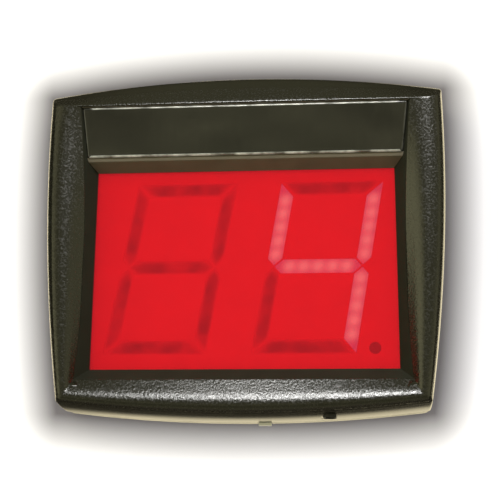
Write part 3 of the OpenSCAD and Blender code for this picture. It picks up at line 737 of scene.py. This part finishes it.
# Digits: one pale grey moulded reflector stands behind the filter. Its fourteen segment holes are filled
# with milky resin, a little hollow from its shrinking, and five light chips stand behind each segment.
# The units digit shows a 4, and the tens digit is dark.
digit_h, digit_w, seg_w, seg_gap, slant = 101.6, 51.0, 8.2, 0.9, 0.174
digit_xs, digit_z = (-42.4, 42.4), win_z + 1.3
digit_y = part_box("digit_reflector")[0].y / mm
lens_t, lens_clear, lens_sink = 3.0, 0.05, 0.4
along_steps, across_steps = 60, 12
chips_per_segment, chip_spread = 5, 2.6
reflector_grey = (0.64, 0.64, 0.625)
resin_dark = (0.10, 0.10, 0.097)
resin_lit = (0.50, 0.42, 0.42)
glow_low, glow_high = (0.10, 2.2, 3.0), (0.42, 10.4, 6.9)


def slab(front, back):
    """Closed solid between two grids of points, as points and faces."""
    rows, columns = front.shape[:2]
    at = np.arange(rows * columns).reshape(rows, columns)
    behind = at + rows * columns
    face = np.stack([at[:-1, :-1], at[:-1, 1:], at[1:, 1:], at[1:, :-1]], axis=-1).reshape(-1, 4)
    border = np.concatenate([at[0, :-1], at[:-1, -1], at[-1, :0:-1], at[:0:-1, 0]])
    following = np.roll(border, -1)
    side = np.stack([following, border, border + rows * columns, following + rows * columns], axis=-1)
    points = np.concatenate([front.reshape(-1, 3), back.reshape(-1, 3)])
    return points, np.concatenate([face, face[:, ::-1] + rows * columns, side]).tolist()


def segment(letter, middle_x):
    """One resin segment: points, faces and two values at each point, its glow and its depth. Its grid runs
    from one end to the other, and across from the inner side, -1, to the outer side, 1. An end is a point,
    or a slanting cut at the digit's corner. The face is sunk by the fourth power of the way across, and by
    the ends' sixteenth. The glow is a sum of round Gaussians over the chips, and the depth falls to 0 at
    the edges by the fourth power across and the eighth along."""
    w, v, h = digit_w / 2, (digit_h - seg_w) / 2, seg_w / 2 - lens_clear
    g = seg_gap / np.sqrt(2) + lens_clear * (np.sqrt(2) - 1) + lens_clear
    q, u = np.linspace(-1, 1, across_steps + 1)[None], np.linspace(0, 1, along_steps + 1)[:, None]
    pointed = g + np.abs(q) * (h + lens_clear)
    cut = lambda half: half - h - g + (q + 1) / 2 * 2 * h
    spread = (np.arange(chips_per_segment) / (chips_per_segment - 1) - 0.5)
    if letter in "bcef":
        side, up = (1 if letter in "bc" else -1), (1 if letter in "bf" else -1)
        x, z = side * (w + q * h) + 0 * u, up * (pointed + (cut(v) - pointed) * u)
        chip_x, chip_z = side * w + 0 * spread, up * (v / 2 + spread * (v - 14))
    else:
        up = {"a": 1, "d": -1, "g": 0}[letter]
        half = w - pointed if letter == "g" else cut(w)
        x, z = half * (2 * u - 1), (up * v + (up or 1) * q * h) + 0 * u
        chip_x, chip_z = spread * (digit_w - 18), up * v + 0 * spread
    if (x[-1, 0] - x[0, 0]) * (z[0, -1] - z[0, 0]) > (z[-1, 0] - z[0, 0]) * (x[0, -1] - x[0, 0]):
        x, z, q = x[:, ::-1], z[:, ::-1], q[:, ::-1]
    away = (x[..., None] - chip_x) ** 2 + (z[..., None] - chip_z) ** 2
    glow = np.exp(-away / (2 * chip_spread ** 2)).sum(axis=-1)
    sink = lens_sink * np.maximum(q ** 4, (2 * u - 1) ** 16)
    depth = (1 - q ** 4) * (1 - (2 * u - 1) ** 8)
    front = np.stack([middle_x + x + slant * z, digit_y + sink, digit_z + z], axis=-1)
    back = np.stack([front[..., 0], np.full_like(x, digit_y + lens_t), front[..., 2]], axis=-1)
    points, faces = slab(front, back)
    return points, faces, np.tile([glow.ravel(), depth.ravel()], 2)


def segments(name, letters, middle_x, slot, node):
    """One piece of several segments."""
    points, faces, values, count = [], [], [], 0
    for letter in letters:
        some_points, some_faces, some_values = segment(letter, middle_x)
        points.append(some_points)
        faces += [[count + i for i in face] for face in some_faces]
        values.append(some_values)
        count += len(some_points)
    made = solid(name, np.concatenate(points), faces, slot=slot, node=node)
    for attribute, value in zip(("glow", "depth"), np.concatenate(values, axis=1)):
        made.data.attributes.new(attribute, "FLOAT", "POINT").data.foreach_set("value", value)
    return made


def milky(shallow, deep):
    """Unlit milky resin: dark and patchy where it is deep, and as pale as the reflector at its edges."""
    def shade(place):
        depth = place.node("Attribute", {"attribute_name": "depth"}, out="Fac")
        patches = place.noise(11 * mm, 3.0).between(0.3, 0.7)
        return {"Base Color": (depth * (0.45 + 0.55 * patches)).mix(shallow, deep),
                "Roughness": 0.35 + 0.1 * place.noise(1.5 * mm)}
    return shade


def lit(place):
    """Milky resin over lit chips: a soft glow with a warmer spot over each chip."""
    glow = place.node("Attribute", {"attribute_name": "glow"}, out="Fac")
    cloud = 0.85 + 0.3 * place.noise(5 * mm)
    return {"Base Color": place.noise(2 * mm).mix(tuple(0.9 * c for c in resin_lit), resin_lit),
            "Emission Color": (glow * cloud).between(0.05, 1.05).mix(glow_low, glow_high),
            "Roughness": 0.35 + 0.1 * place.noise(1.5 * mm)}


resin = material("milky_resin", milky(reflector_grey, resin_dark))
coated(segments("tens_resin", "abcdefg", digit_xs[0], "segment_dark", "tens_segments"), resin)
coated(segments("units_resin_unlit", "ade", digit_xs[1], "segment_dark", "units_segments_unlit"), resin)
coated(segments("units_resin_lit", "bcfg", digit_xs[1], "segment_lit", "units_segments_lit"),
       material("lit_resin", lit, Emission_Strength=1.0))
dressed(["units_point"], material("milky_point", fine_plastic(resin_dark, 2.0, 0.01)))
dressed(["digit_reflector"],
        material("reflector_grey", fine_plastic(reflector_grey, pit=0.4, depth=0.01, rough=0.6)))
resins = [bpy.data.objects[name] for name in ("tens_resin", "units_resin_unlit", "units_resin_lit")]
evenly_lit = [wall, nodes["window_filter"], nodes["digit_reflector"], nodes["units_point"], *resins]
shining("screen", evenly_lit)
shining("panel", evenly_lit, "EXCLUDE")


# Light chips and boards: white chips with a clear yellowish window, on green boards with pale tracks and
# tinned pads. The pins of both digits go through to the main board.
chip_white, chip_window = (0.72, 0.71, 0.66), (0.75, 0.55, 0.18)
board_green, track_green = (0.010, 0.085, 0.035), (0.022, 0.17, 0.06)
pad_tin = (0.62, 0.60, 0.56)
pin_tin = (0.66, 0.62, 0.50)


def chip_face(place):
    """White package with a yellow cast towards its middle."""
    return {"Base Color": place.noise(1.1 * mm).between(0.4, 0.6).mix(chip_white, chip_window),
            "Roughness": 0.3 + 0.2 * place.noise(0.6 * mm)}


def board_face(place):
    """Green lacquer: tracks run along the edges of square cells, with round tinned pads where they meet."""
    flat = place.stretched(1, 0, 1)
    tracks = flat.node("TexVoronoi", {"feature": "DISTANCE_TO_EDGE", "distance": "EUCLIDEAN"},
                       {"Vector": flat, "Scale": 1 / (6 * mm), "Randomness": 0.35})
    track = 1 - tracks.between(0.06, 0.08)
    pad = 1 - flat.cells(5.08 * mm, randomness=0.0).between(0.14, 0.16)
    lacquer = (track * 0.8 + 0.2 * place.noise(8 * mm)).mix(board_green, track_green)
    return {"Base Color": pad.mix(lacquer, pad_tin), "Metallic": pad,
            "Roughness": 0.32 + 0.1 * place.noise(3 * mm), "Normal": (track + pad).bump(0.03 * mm)}


dressed(["tens_leds", "units_leds"], material("chip_white", chip_face))
dressed(["tens_led_board", "units_led_board", "main_board"], material("green_board", board_face))
dressed(["digit_pins"], material("tinned_pins", plated(pin_tin, streak=(1, 8, 1)), Metallic=1.0))


# Chips and the regulator: black epoxy packages on the back of the main board. Their tinned legs, and the
# regulator's tab, lie beyond the package's two long sides.
epoxy_black = (0.014, 0.014, 0.015)
leg_tin = (0.64, 0.63, 0.60)
# Packages: the middle of their epoxy's height, and half that height
packages = {"microcontroller": (-22.0, 3.5), "segment_drivers": (-2.0, 3.5),
            "voltage_regulator": (52.0, 4.5)}


def package(middle_z, half_height):
    """Black epoxy within half_height of middle_z, and tin beyond it."""
    def shade(place):
        height = place.node("SeparateXYZ", {}, {"Vector": place}, out=2)
        tin = height.maths("ABSOLUTE", height - middle_z * mm).between(half_height * mm,
                                                                      (half_height + 0.05) * mm)
        grain = place.noise(0.25 * mm, 3.0)
        epoxy = grain.mix(epoxy_black, tuple(1.8 * c for c in epoxy_black))
        return {"Base Color": tin.mix(epoxy, leg_tin), "Metallic": tin,
                "Roughness": 0.5 - 0.2 * tin + 0.15 * grain, "Normal": grain.bump(0.01 * mm)}
    return shade


for chip, span in packages.items():
    dressed([chip], material(chip + "_package", package(*span)))


# Round black parts: the bridge rectifier, and the buzzer with the turned rings of its moulded case.
buzzer_at = (32.0, 62.0)


def ringed(place):
    """Black moulding with fine concentric rings about the buzzer's middle."""
    shift = (-buzzer_at[0] * mm, 0.0, -buzzer_at[1] * mm)
    middle = place.node("Mapping", {}, {"Vector": place, "Location": shift})
    rings = middle.node("TexWave", {"wave_type": "RINGS", "rings_direction": "Y"},
                        {"Vector": middle, "Scale": 1 / (4 * mm), "Distortion": 0.0})
    return {"Base Color": place.noise(0.6 * mm).mix(epoxy_black, tuple(1.6 * c for c in epoxy_black)),
            "Roughness": 0.38 + 0.12 * rings, "Normal": rings.bump(0.02 * mm)}


dressed(["buzzer"], material("ringed_black", ringed))
dressed(["bridge_rectifier"], material("epoxy_black", fine_plastic(epoxy_black, pit=0.3, depth=0.01)))


# Resistor networks, crystal and heat sink: mustard lacquer, a nickelled can and blasted aluminium.
network_mustard = (0.50, 0.30, 0.04)
can_nickel = (0.66, 0.65, 0.62)
sink_grey = (0.42, 0.43, 0.44)
dressed(["resistor_networks"], material("mustard_lacquer", fine_plastic(network_mustard, 0.8, 0.02, 0.3)))
dressed(["crystal"], material("nickelled_can", plated(can_nickel, 0.2, (8, 1, 1)), Metallic=1.0))
dressed(["heat_sink"], material("blasted_aluminium", plated(sink_grey, 0.42, (1, 1, 1)), Metallic=1.0))


# Smoothing capacitors: dark blue sleeves with a pale stripe down one side, and bare aluminium ends.
capacitor_z, capacitor_r = 62.0, 5.0
capacitor_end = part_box("smoothing_capacitors")[0].y / mm
sleeve_blue, stripe_pale, end_metal = (0.020, 0.035, 0.11), (0.55, 0.58, 0.62), (0.70, 0.70, 0.70)


def sleeve(place):
    """Blue sleeve, with a stripe where a capacitor reaches furthest up and metal on its free end."""
    depth = place.node("SeparateXYZ", {}, {"Vector": place}, out=1)
    height = place.node("SeparateXYZ", {}, {"Vector": place}, out=2)
    stripe_at = (capacitor_z + 0.87 * capacitor_r) * mm
    stripe = height.between(stripe_at - 0.05 * mm, stripe_at + 0.05 * mm)
    end = 1 - depth.between((capacitor_end + 0.05) * mm, (capacitor_end + 0.1) * mm)
    creases = place.stretched(1, 6, 1).noise(1.5 * mm)
    return {"Base Color": end.mix(stripe.mix(sleeve_blue, stripe_pale), end_metal), "Metallic": end,
            "Roughness": 0.22 + 0.15 * creases, "Normal": creases.bump(0.02 * mm)}


dressed(["smoothing_capacitors"], material("shrunk_sleeve", sleeve))


# Terminals: a green moulded block with four plated screws, behind the cable slot.
terminal_green = (0.020, 0.21, 0.085)
dressed(["terminal_block"], material("green_moulding", fine_plastic(terminal_green, 0.5, 0.015, 0.35)))
dressed(["terminal_screws"], material("zinc_screws", plated(steel_grey, 0.3), Metallic=1.0))


# Cable grommet: a soft black ring in the slot of the underside. Its lip turns over the slot's edge.
grommet_black = (0.016, 0.016, 0.016)
grommet = softened("cable_slot_grommet", "cable_grommet", 0.3)
coated(grommet, material("soft_rubber", fine_plastic(grommet_black, 0.35, 0.02, 0.62)))


# Advance button: a white moulded tab that shows at the middle of the underside. A red plunger in a small
# black switch on the board holds it out, and its shoulder stops it inside the case.
button_white, plunger_red = (0.80, 0.79, 0.75), (0.55, 0.03, 0.02)
button = softened("advance_tab", "advance_button", 0.35, body="advance_button")
coated(button, material("white_moulding", fine_plastic(button_white, 0.4, 0.01, 0.4)))
dressed(["button_plunger"], material("red_plunger", fine_plastic(plunger_red, 0.4, 0.01, 0.35)))
dressed(["button_switch"], material("switch_body", fine_plastic(epoxy_black, 0.3, 0.01)))


# Adjusters on the board's back: a blue volume trimmer with a white slotted wheel, and a slide switch for
# the chime, a nickelled frame with a black slider.
trimmer_blue, slider_black = (0.02, 0.10, 0.42), (0.012, 0.012, 0.012)
dressed(["volume_trimmer"], material("blue_moulding", fine_plastic(trimmer_blue, 0.4, 0.01, 0.35)))
dressed(["trimmer_wheel"], material("white_wheel", fine_plastic(button_white, 0.3, 0.01, 0.35)))
dressed(["chime_switch"], material("switch_frame", plated(can_nickel, 0.3, (1, 8, 1)), Metallic=1.0))
dressed(["chime_slider"], material("slider_black", fine_plastic(slider_black, 0.3, 0.01)))


# Case screws: four blackened pan-head screws, sunk in the rear cover.
screw_black = (0.10, 0.10, 0.105)
screws = softened("cover_screws", "case_screws", 0.12, segments=2)
rear_group.objects.link(screws)
coated(screws, material("blackened_steel", plated(screw_black, 0.35, (1, 1, 1)), Metallic=1.0))
